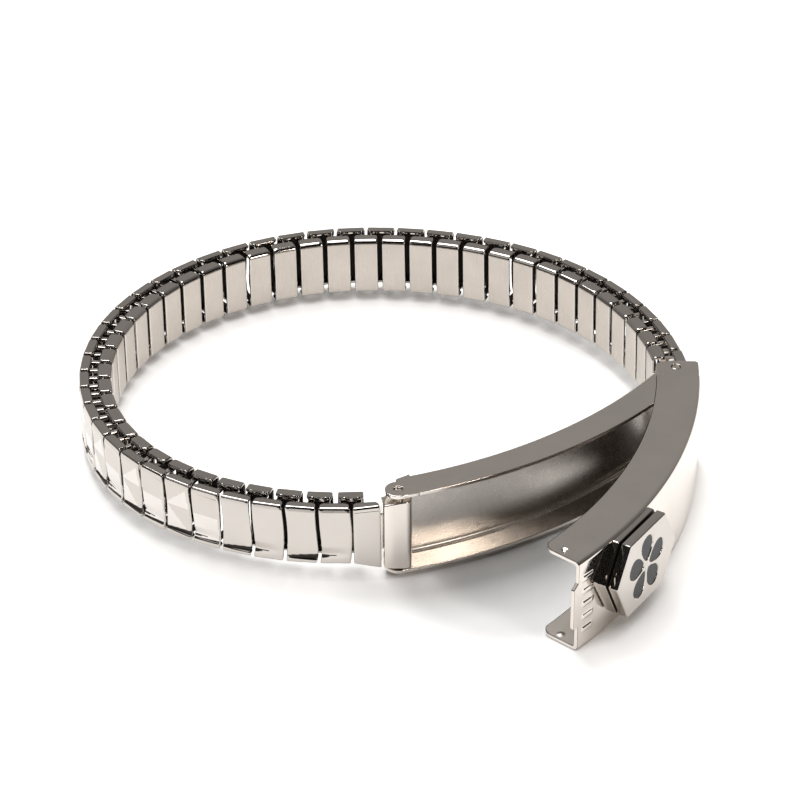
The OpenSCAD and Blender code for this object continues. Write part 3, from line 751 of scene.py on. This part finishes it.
def stepped(loops, rises, tilts, low_n, high_n, dark):
    """Outlines stacked at their heights. tilts holds the share of each ring's direction that points along z.

    dark holds the numbers of the strips, counted from the lid, that lie in the groove and get a near-black
    painted shade.
    """
    rings = np.stack([np.concatenate([p, (h + 0 * p[:, 0])[:, None]], 1) for (p, _), h in zip(loops, rises)])
    ring_n = np.stack([np.concatenate([-n * math.sqrt(max(0, 1 - k * k)), np.full((len(n), 1), k)], 1)
                       for (_, n), k in zip(loops, tilts)])
    points, normals, faces, _ = lofted(rings, ring_n, low_n, high_n)
    return points, normals, faces, np.isin(np.arange(len(faces)) // rings.shape[1], dark).astype(int)


def base_skin():
    """The badge's base: a soft hexagon that rises from the lid's curved wall to a rounded edge."""
    inset = [0, 0, 0.04, 0.14]
    loops = [hexagon(i, 0.18 - i) for i in inset]
    across = loops[0][0][:, 0]
    r = CAPSULE_R + LID_FRONT
    sag = np.sqrt(r * r - across**2) - r + 0.01
    rises = [sag, BASE_T - 0.14 + 0 * across, BASE_T - 0.04 + 0 * across, BASE_T + 0 * across]
    # The base's top, under the plate's groove, gets near-black painted shade.
    return on_badge(stepped(loops, rises, [0, 0, 0.7, 1], DOWN, UP, (5, 6, 7, 8)))


def petal_share(x, y):
    """How deep a point lies in the nearest petal: 1 at the petal's middle and 0 on its outline.

    With p = (x - PETAL_AT) / PETAL_HALF and q = sqrt(p^2 + y^2) the share is
    1 - sqrt(p^2 + (y / (1 + PETAL_LEAN p / q))^2), repeated round the middle.
    """
    turn = 2 * math.pi / PETALS
    a = np.arctan2(y, x) - math.pi / 2
    a = a - turn * np.round(a / turn)
    r = np.hypot(x, y)
    px, py = (r * np.cos(a) - PETAL_AT) / PETAL_HALF, r * np.sin(a)
    lean = px / np.maximum(np.hypot(px, py), 0.2)
    return 1 - np.hypot(px, py / (1 + PETAL_LEAN * lean))


def plate_skin(petal_depth):
    """The badge's plate: a drawn-in neck, a hexagon with a bevelled edge, and petals sunk in its face."""
    neck, low, high = BASE_T - 0.02, BASE_T + GROOVE_T, BASE_T + GROOVE_T + PLATE_T
    inset = [0.6, 0.6, 0.06, 0, 0, 0.05, 0.12]
    loops = [hexagon(i, max(0.12 - i, 0.05)) for i in inset]
    zero = 0 * loops[0][0][:, 0]
    rises = [zero + h for h in (neck, low, low, low + 0.06, high - 0.12, high - 0.05, high)]
    # The plate's neck and underside, which line the groove, get near-black painted shade.
    side = stepped(loops, rises, [0, 0, -1, -0.3, 0, 0.7, 0.8], DOWN, None, range(5))
    rim = loops[-1][0]
    f = np.concatenate([np.linspace(1, 0.9, 4), np.linspace(0.88, 0.02, 60), [0.001]])[:, None, None]
    spots = np.stack([np.interp(np.linspace(0, len(rim), 240, endpoint=False), np.arange(len(rim) + 1),
                                np.append(rim[:, k], rim[0, k])) for k in (0, 1)], -1)
    flat = spots * f
    x, y = flat[..., 0], flat[..., 1]
    share = petal_share(x, y)
    sink = eased(share / 0.09 + 0.5)
    r = np.hypot(x, y)
    boss = eased((0.5 - r) / 0.2)
    depth = -petal_depth * sink + 0.05 * boss
    grid = np.concatenate([flat, np.full(x.shape + (1,), high)], -1)
    grid, n = pressed(grid, np.broadcast_to(UP, grid.shape), depth)
    cells = cells_of(len(f), 240, True)
    flat = grid.reshape(-1, 3)
    if not face_out(flat, np.broadcast_to(UP, flat.shape), cells):
        cells = cells[:, ::-1]
    # The petals' sunk faces under the enamel get near-black painted shade.
    sunk = (share.ravel()[cells].min(1) > -0.01).astype(int)
    return on_badge(join([side, (flat, n.reshape(-1, 3), cells, sunk)]))


def enamel_skin(petal_depth):
    """Enamel in the petals: ovals that rise a little at their rims, as fired enamel does."""
    high = BASE_T + GROOVE_T + PLATE_T
    a = np.linspace(0, 2 * math.pi, 40, endpoint=False)
    f = np.array([1, 0.96, 0.85, 0.6, 0.3, 0.01])[:, None]
    level = np.array([-0.075, -0.06, -0.075, -0.09, -0.095, -0.095])[:, None]
    x = PETAL_AT + (PETAL_HALF - 0.02) * f * np.cos(a)
    y = 0.98 * f * np.sin(a) * (1 + PETAL_LEAN * np.cos(a))
    floor = high - petal_depth + 0.01
    skins = []
    for k in range(PETALS):
        turn = about_z(math.pi / 2 + 2 * math.pi * k / PETALS)
        top = np.stack([x, y, high + level + 0 * x], -1)
        n = np.broadcast_to(UP, top.shape)
        under = np.stack([x[:1], y[:1], floor + 0 * x[:1]], -1)
        rings = np.concatenate([under, top])
        ring_n = np.concatenate([unit(np.stack([np.cos(a), np.sin(a), 0 * a], -1))[None], n])
        skins.append(moved(lofted(rings, ring_n, DOWN, None), turn, np.zeros(3)))
    return on_badge(join(skins))


# Meshes and finishes

def add_piece(name, skin, finishes, body, slot, *nodes):
    """Puts a skin into a mesh in metres, with finishes by mark, and lets it stand for its CAD nodes."""
    points, normals, faces, marks = skin
    mesh = bpy.data.meshes.new(name)
    mesh.from_pydata((points * MM).tolist(), [], faces.tolist())
    mesh.validate()
    mesh.polygons.foreach_set("use_smooth", np.ones(len(mesh.polygons), bool))
    mesh.normals_split_custom_set_from_vertices(normals.tolist())
    for finish in finishes:
        mesh.materials.append(finish)
    mesh.polygons.foreach_set("material_index", np.minimum(marks, len(finishes) - 1))
    piece = bpy.data.objects.new(name, mesh)
    bpy.context.scene.collection.objects.link(piece)
    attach(piece, body)
    if nodes:
        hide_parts(*nodes)
    return piece


def add_node(tree, kind, feeds=None, **values):
    """A new node in a material's tree, fed by other nodes' outlets, with values in its sockets.

    feeds and values go by the socket's name, where an underscore in values stands for a space.
    """
    node = tree.nodes.new(kind)
    for socket, outlet in (feeds or {}).items():
        tree.links.new(outlet, node.inputs[socket])
    for socket, value in values.items():
        node.inputs[socket.replace("_", " ")].default_value = value
    return node


def finish_of(name, colour, metal, rough, grain, bump, colour_shift=0.0, specular=0.5):
    """A finish: one shader, with roughness and bump from noise stretched to the grain's scale per metre.

    rough holds the lowest and the highest roughness, and bump is the grain's height in metres.
    """
    made = bpy.data.materials.get(name)
    if made:
        return made
    made = bpy.data.materials.new(name)
    made.use_nodes = True
    tree, links = made.node_tree, made.node_tree.links
    shader = tree.nodes["Principled BSDF"]
    shader.inputs["Base Color"].default_value = (*colour, 1)
    shader.inputs["Metallic"].default_value = metal
    shader.inputs["Specular IOR Level"].default_value = specular
    where = add_node(tree, "ShaderNodeTexCoord").outputs["Object"]
    fit = add_node(tree, "ShaderNodeMapping", {"Vector": where}, Scale=grain)
    noise = add_node(tree, "ShaderNodeTexNoise", {"Vector": fit.outputs["Vector"]},
                     Scale=1, Detail=5, Roughness=0.6).outputs["Fac"]
    spread = add_node(tree, "ShaderNodeMapRange", {"Value": noise},
                      From_Min=0.3, From_Max=0.7, To_Min=rough[0], To_Max=rough[1])
    links.new(spread.outputs["Result"], shader.inputs["Roughness"])
    height = add_node(tree, "ShaderNodeBump", {"Height": noise}, Strength=1, Distance=bump)
    links.new(height.outputs["Normal"], shader.inputs["Normal"])
    if colour_shift:
        smudge = add_node(tree, "ShaderNodeTexNoise", {"Vector": where}, Scale=260, Detail=3)
        ramp = add_node(tree, "ShaderNodeValToRGB", {"Fac": smudge.outputs["Fac"]})
        low, high = ramp.color_ramp.elements
        low.position, high.position = 0.3, 0.7
        low.color = (*[c * (1 - colour_shift) for c in colour], 1)
        high.color = (*[min(1, c * (1 + colour_shift)) for c in colour], 1)
        links.new(ramp.outputs["Color"], shader.inputs["Base Color"])
    return made


def finish_settings():
    return bpy.context.scene.bracelet_finish


def polished():
    s = finish_settings()
    return finish_of("Polished steel", s.bright, 1, (s.polish, s.polish + 0.04), (900,) * 3, 2e-7, 0.02)


# The polished steel in a lighter colour: a painted highlight on the caps' facets listed as bright.
def cut():
    s = finish_settings()
    return finish_of("Bright cut", s.cut, 1, (s.polish, s.polish + 0.03), (900,) * 3, 2e-7, 0.02)


def brushed():
    s = finish_settings()
    rough = (s.brush - 0.05, s.brush + 0.07)
    return finish_of("Brushed steel", s.brushed, 1, rough, (9000, 9000, 500), 1.2e-6, 0.05)


def satin():
    s = finish_settings()
    return finish_of("Capsule steel", s.steel, 1, (s.satin - 0.03, s.satin + 0.03), (7000,) * 3, 4e-7, 0.03)


def grainy():
    s = finish_settings()
    return finish_of("Grainy inside", s.grainy, 1, (s.grain - 0.06, s.grain + 0.06), (8000,) * 3, 9e-6, 0.08)


def dull():
    return finish_of("Dull inside", finish_settings().dull, 1, (0.3, 0.42), (6000,) * 3, 1.5e-6, 0.06)


def sprung():
    return finish_of("Spring steel", finish_settings().steel, 1, (0.1, 0.18), (4000,) * 3, 5e-7, 0.03)


# Rough unpolished steel whose near-black colour is painted shade: it stands in for the shade on the folded
# links' inner faces, in the caps' hollows, in the badge's groove, under the enamel and on the lower clips under
# the band.
def unpolished_painted_shade():
    return finish_of("Unpolished inside", finish_settings().inside, 1, (0.5, 0.7), (6000,) * 3, 1e-6, 0.1)


def enamel():
    colour = finish_settings().enamel
    return finish_of("Fired enamel", colour, 0, (0.2, 0.3), (3000,) * 3, 2e-7, 0.1, specular=0.2)


# Settings

def size(name, description, default, low, high):
    """A size in millimetres that the user may change."""
    return bpy.props.FloatProperty(name=name, description=description + ", in millimetres", default=default,
                                   min=low, max=high)


def colour(name, description, default):
    """A colour that the user may change."""
    return bpy.props.FloatVectorProperty(name=name, description=description, default=default, subtype="COLOR",
                                         min=0, max=1)


def gloss(name, description, default, low, high):
    """A roughness that the user may change."""
    return bpy.props.FloatProperty(name=name, description=description, default=default, min=low, max=high,
                                   subtype="FACTOR")


def power(name, description, default):
    """A lamp's power that the user may change."""
    return bpy.props.FloatProperty(name=name, description=description, default=default, min=0, unit="POWER")


class BraceletShape(bpy.types.PropertyGroup):
    """Sizes that can change without touching the CAD part."""
    facet: size("Facet depth", "Relief of the facets on the caps", 0.2, 0, 0.22)
    rib: size("Rib height", "Height of the ribs on the lid", 0.12, 0, 0.14)
    petal: size("Petal depth", "Depth of the badge's petals", 0.2, 0.05, 0.25)


class BraceletFinish(bpy.types.PropertyGroup):
    """Colours and gloss of the metals and the enamel."""
    bright: colour("Polished steel", "Colour of the caps, plain links, tabs and badge", (0.56, 0.525, 0.49))
    steel: colour("Steel", "Colour of the capsule, rolls, upper clips and pins", (0.75, 0.7, 0.65))
    # Colour of the painted highlight on the caps' bright facets.
    cut: colour("Bright cut", "Colour of the brightest facets on the caps", (0.68, 0.65, 0.62))
    brushed: colour("Brushed steel", "Colour of the inner links", (0.5, 0.455, 0.41))
    grainy: colour("Grainy steel", "Colour of the tray's inside", (0.76, 0.715, 0.67))
    dull: colour("Dull steel", "Colour of the lid's inside", (0.4, 0.365, 0.33))
    # Near-black colour of the painted shade on inner faces, hollows, the badge's groove and the lower clips.
    inside: colour("Inside", "Colour of the dark hollows and inner faces", (0.06, 0.052, 0.046))
    enamel: colour("Enamel", "Colour of the badge's enamel", (0.016, 0.017, 0.022))
    grain: gloss("Grain", "Roughness of the tray's inside", 0.3, 0.1, 0.8)
    polish: gloss("Polish", "Roughness of the polished steel and the bright cut", 0.05, 0.01, 0.3)
    satin: gloss("Satin", "Roughness of the tray, the lid and the rolls", 0.12, 0.05, 0.5)
    brush: gloss("Brush", "Roughness of the inner links", 0.3, 0.1, 0.6)


class BraceletStage(bpy.types.PropertyGroup):
    """Light, floor and lens of the stage."""
    key: power("Key lamp", "Power of the wide lamp behind the object", 1.7)
    top: power("Top lamp", "Power of the lamp over the object", 0.5)
    left: power("Left lamp", "Power of the lamp left of the lens", 0.35)
    right: power("Right lamp", "Power of the lamp right of the lens", 0.8)
    floor: bpy.props.FloatProperty(name="Floor light", default=0.6, min=0, max=2,
                                   description="Light that the floor beside the object gives")
    lens: bpy.props.FloatProperty(name="Lens", default=174.4, min=50, max=300,
                                  description="Focal length in millimetres")


class BRACELET_OT_outer_caps(bpy.types.Operator):
    """Builds the polished outer caps, one piece for each link"""
    bl_idname = "bracelet.outer_caps"
    bl_label = "Outer caps"

    def execute(self, context):
        depth = context.scene.bracelet_shape.facet
        for k in range(1, LINKS + 1):
            skin = on_band(cap_skin(k, depth), k - 0.5)
            # The caps' second finish is near-black painted shade and their third a painted highlight.
            add_piece(f"cap_{k:02d}", skin, (polished(), unpolished_painted_shade(), cut()), "root", "polished_steel",
                      f"outer_link_{k:02d}")
        return {"FINISHED"}


class BRACELET_OT_inner_links(bpy.types.Operator):
    """Builds the brushed inner links as one piece"""
    bl_idname = "bracelet.inner_links"
    bl_label = "Inner links"

    def execute(self, context):
        link = inner_link_skin()
        skin = join([on_band(link, k) for k in range(LINKS + 1)])
        # The links' inner faces get near-black painted shade.
        finishes = (brushed(), unpolished_painted_shade(), polished())
        add_piece("inner_band", skin, finishes, "root", "brushed_steel", "inner_links")
        return {"FINISHED"}


class BRACELET_OT_clips(bpy.types.Operator):
    """Builds the sprung clips that join the caps to the inner links"""
    bl_idname = "bracelet.clips"
    bl_label = "Clips"

    def execute(self, context):
        for name, node, z, finish in (
                ("upper_clips", "clips_upper", BAND_H - LINK_SHEET - CLIP_T - 0.05, sprung()),
                # The lower clips under the band get the near-black painted shade.
                ("lower_clips", "clips_lower", LINK_SHEET + 0.05, unpolished_painted_shade())):
            clip = clip_skin(z)
            skin = join([on_band(clip, k) for k in range(LINKS + 1)])
            add_piece(name, skin, (finish,), "root", "spring_steel", node)
        return {"FINISHED"}


class BRACELET_OT_end_links(bpy.types.Operator):
    """Builds the plain links and the rolled ends beside the capsule"""
    bl_idname = "bracelet.end_links"
    bl_label = "End links and rolls"

    def execute(self, context):
        for side, name, s in ((1, "left", -0.5), (-1, "right", LINKS + 0.5)):
            skin = on_band(end_link_skin(side), s)
            add_piece(f"plain_link_{name}", skin, (polished(), unpolished_painted_shade()), "root", "polished_steel",
                      f"end_link_{name}")
            pin, heading = (EYE, HEADING) if side > 0 else (PIN_RIGHT, STARTS[-1, 2])
            skin = moved(roll_skin(side), about_z(heading), np.array([*pin, 0.0]))
            add_piece(f"rolled_end_{name}", skin, (satin(),), "root", "polished_steel", f"end_roll_{name}")
        return {"FINISHED"}


class BRACELET_OT_pins(bpy.types.Operator):
    """Builds the two pins"""
    bl_idname = "bracelet.pins"
    bl_label = "Pins"

    def execute(self, context):
        for name, node, centre, low, high in (("left_pin", "pin_left", EYE, 0.7, 9.3),
                                              ("hinge_pin", "pin_hinge", PIN_RIGHT, 0.03, 9.97)):
            add_piece(name, pin_skin(centre, low, high), (sprung(),), "root", "spring_steel", node)
        return {"FINISHED"}


class BRACELET_OT_capsule(bpy.types.Operator):
    """Builds the tray and the hinged lid"""
    bl_idname = "bracelet.capsule"
    bl_label = "Tray and lid"

    def execute(self, context):
        add_piece("capsule_tray", tray_skin(), (satin(), grainy()), "root", "capsule_steel", "tray")
        add_piece("capsule_lid", lid_skin(context.scene.bracelet_shape.rib), (satin(), dull()), "lid",
                  "capsule_steel", "lid")
        return {"FINISHED"}


class BRACELET_OT_badge(bpy.types.Operator):
    """Builds the badge: base, plate and enamel"""
    bl_idname = "bracelet.badge"
    bl_label = "Badge"

    def execute(self, context):
        depth = context.scene.bracelet_shape.petal
        metal = (polished(), unpolished_painted_shade())
        add_piece("badge_foot", base_skin(), metal, "lid", "polished_steel", "badge_base")
        add_piece("badge_face", plate_skin(depth), metal, "lid", "polished_steel", "badge_plate")
        add_piece("badge_petals", enamel_skin(depth), (enamel(),), "lid", "enamel", "badge_enamel")
        return {"FINISHED"}


# Stage

TARGET, VIEW_AWAY = np.array([1.6, 4.1, 0.2]), 400.9
VIEW_UP, VIEW_ROLL = math.radians(32.24), math.radians(-0.09)
FLOOR_HALF, OPEN_WITHIN = 3.0, 0.0045
SHADE_SPOT, SHADE_REACH = (0.012, -0.027, 0), 0.1
SHADE_STOPS = [(0.0, 0.04), (0.05, 0.04), (0.09, 0.25), (0.13, 0.7), (0.19, 1.0)]
ROOM_STOPS = [(0.0, 0.012), (0.42, 0.02), (0.62, 0.14), (0.85, 0.3), (1.0, 0.33)]
ROOM_TINT = (1, 0.965, 0.93)
LAMPS = (
    ("Key lamp", "key", (-0.088, 0.243, 0.486), 0.26, (1, 1, 1)),
    ("Top lamp", "top", (0.0, 0.0, 0.6), 0.2, (1, 1, 1)),
    ("Left lamp", "left", (-0.42, -0.18, 0.48), 0.45, (1, 1, 1)),
    ("Right lamp", "right", (0.388, -0.374, 0.363), 0.13, (1, 0.91, 0.82)),
)


def level_ramp(tree, outlet, stops, tint=(1, 1, 1)):
    """A soft ramp through levels of grey, each multiplied by the tint, fed by the outlet."""
    node = add_node(tree, "ShaderNodeValToRGB", {"Fac": outlet})
    ramp = node.color_ramp
    ramp.interpolation = "EASE"
    ramp.elements[0].position = stops[0][0]
    ramp.elements[1].position = stops[-1][0]
    for at, _ in stops[1:-1]:
        ramp.elements.new(at)
    for element, (_, level) in zip(ramp.elements, stops):
        element.color = (level * tint[0], level * tint[1], level * tint[2], 1)
    return node.outputs["Color"]


def floor_finish(glow):
    """A pale matt floor that gives some light of its own, least under the tray and close under things.

    The distance from a spot under the tray's front, as a share of the shade's reach, goes through one
    ramp, and how far the floor lies open within 4.5 mm goes through another. The light is their product.
    """
    made = bpy.data.materials.new("Pale floor")
    made.use_nodes = True
    tree = made.node_tree
    shader = tree.nodes["Principled BSDF"]
    shader.inputs["Base Color"].default_value = (0.9, 0.9, 0.9, 1)
    shader.inputs["Roughness"].default_value = 0.9
    shader.inputs["Emission Color"].default_value = (1.0, 0.985, 0.97, 1)
    where = add_node(tree, "ShaderNodeTexCoord").outputs["Object"]
    far = tree.nodes.new("ShaderNodeVectorMath")
    far.operation = "DISTANCE"
    far.inputs[1].default_value = SHADE_SPOT
    tree.links.new(where, far.inputs[0])
    share = tree.nodes.new("ShaderNodeMath")
    share.operation = "DIVIDE"
    share.inputs[1].default_value = SHADE_REACH
    tree.links.new(far.outputs["Value"], share.inputs[0])
    open_share = add_node(tree, "ShaderNodeAmbientOcclusion", Distance=OPEN_WITHIN).outputs["AO"]
    light = add_node(tree, "ShaderNodeMapRange", {"Value": open_share},
                     From_Min=0.3, From_Max=0.65, To_Max=glow)
    product = tree.nodes.new("ShaderNodeMath")
    product.operation = "MULTIPLY"
    tree.links.new(level_ramp(tree, share.outputs["Value"], SHADE_STOPS), product.inputs[0])
    tree.links.new(light.outputs["Result"], product.inputs[1])
    tree.links.new(product.outputs["Value"], shader.inputs["Emission Strength"])
    return made


def room_light():
    """Light of the room by direction: dark on the lens's side, dim overhead and grey towards the back."""
    world = bpy.data.worlds.new("Studio")
    bpy.context.scene.world = world
    world.use_nodes = True
    tree = world.node_tree
    where = add_node(tree, "ShaderNodeTexCoord").outputs["Generated"]
    split = add_node(tree, "ShaderNodeSeparateXYZ", {"Vector": where})
    half = add_node(tree, "ShaderNodeMapRange", {"Value": split.outputs["Y"]}, From_Min=-1, From_Max=1)
    back = tree.nodes["Background"]
    tree.links.new(level_ramp(tree, half.outputs["Result"], ROOM_STOPS, ROOM_TINT), back.inputs["Color"])
    back.inputs["Strength"].default_value = 1


class BRACELET_OT_stage(bpy.types.Operator):
    """Builds the camera, the floor, the room's light and four soft lamps"""
    bl_idname = "bracelet.stage"
    bl_label = "Stage"

    def execute(self, context):
        stage = context.scene.bracelet_stage
        eye = TARGET + VIEW_AWAY * np.array([0, -math.cos(VIEW_UP), math.sin(VIEW_UP)])
        camera = bpy.data.objects.new("Camera", bpy.data.cameras.new("Camera"))
        context.scene.collection.objects.link(camera)
        camera.data.sensor_width = 36
        camera.data.lens = stage.lens
        camera.data.clip_start, camera.data.clip_end = 0.01, 10
        camera.location = Vector(eye * MM)
        camera.rotation_mode = "QUATERNION"
        look = Vector(TARGET - eye).to_track_quat("-Z", "Y")
        camera.rotation_quaternion = look @ Quaternion((0, 0, 1), VIEW_ROLL)
        context.scene.camera = camera
        mesh = bpy.data.meshes.new("Floor")
        corners = [(x * FLOOR_HALF, y * FLOOR_HALF, 0) for x, y in ((-1, -1), (1, -1), (1, 1), (-1, 1))]
        mesh.from_pydata(corners, [], [(0, 1, 2, 3)])
        mesh.materials.append(floor_finish(stage.floor))
        floor = bpy.data.objects.new("Floor", mesh)
        context.scene.collection.objects.link(floor)
        for name, setting, spot, width, tint in LAMPS:
            lamp = bpy.data.objects.new(name, bpy.data.lights.new(name, "AREA"))
            lamp.data.energy = getattr(stage, setting)
            lamp.data.size = width
            lamp.data.color = tint
            lamp.location = spot
            lamp.rotation_euler = Vector(spot).to_track_quat("Z", "Y").to_euler()
            context.scene.collection.objects.link(lamp)
        room_light()
        context.scene.view_settings.view_transform = "Standard"
        return {"FINISHED"}


OPERATORS = (
    BRACELET_OT_outer_caps, BRACELET_OT_inner_links, BRACELET_OT_clips, BRACELET_OT_end_links,
    BRACELET_OT_pins, BRACELET_OT_capsule, BRACELET_OT_badge, BRACELET_OT_stage,
)


class BRACELET_PT_pieces(bpy.types.Panel):
    """Lists the bracelet's settings and pieces"""
    bl_idname = "BRACELET_PT_pieces"
    bl_label = "Bracelet"
    bl_space_type = "VIEW_3D"
    bl_region_type = "UI"
    bl_category = "Bracelet"

    def draw(self, context):
        scene = context.scene
        for group in (scene.bracelet_shape, scene.bracelet_finish, scene.bracelet_stage):
            box = self.layout.box()
            for name in group.__annotations__:
                box.prop(group, name)
        for kind in OPERATORS:
            self.layout.operator(kind.bl_idname)


GROUPS = (
    ("bracelet_shape", BraceletShape),
    ("bracelet_finish", BraceletFinish),
    ("bracelet_stage", BraceletStage),
)


def register():
    for name, group in GROUPS:
        bpy.utils.register_class(group)
        setattr(bpy.types.Scene, name, bpy.props.PointerProperty(type=group))
    for kind in (*OPERATORS, BRACELET_PT_pieces):
        bpy.utils.register_class(kind)


def unregister():
    for kind in reversed((*OPERATORS, BRACELET_PT_pieces)):
        bpy.utils.unregister_class(kind)
    for name, group in reversed(GROUPS):
        delattr(bpy.types.Scene, name)
        bpy.utils.unregister_class(group)


def main():
    register()
    bpy.ops.bracelet.stage()
    bpy.ops.bracelet.outer_caps()
    bpy.ops.bracelet.inner_links()
    bpy.ops.bracelet.clips()
    bpy.ops.bracelet.end_links()
    bpy.ops.bracelet.pins()
    bpy.ops.bracelet.capsule()
    bpy.ops.bracelet.badge()


if __name__ == "__main__":
    main()
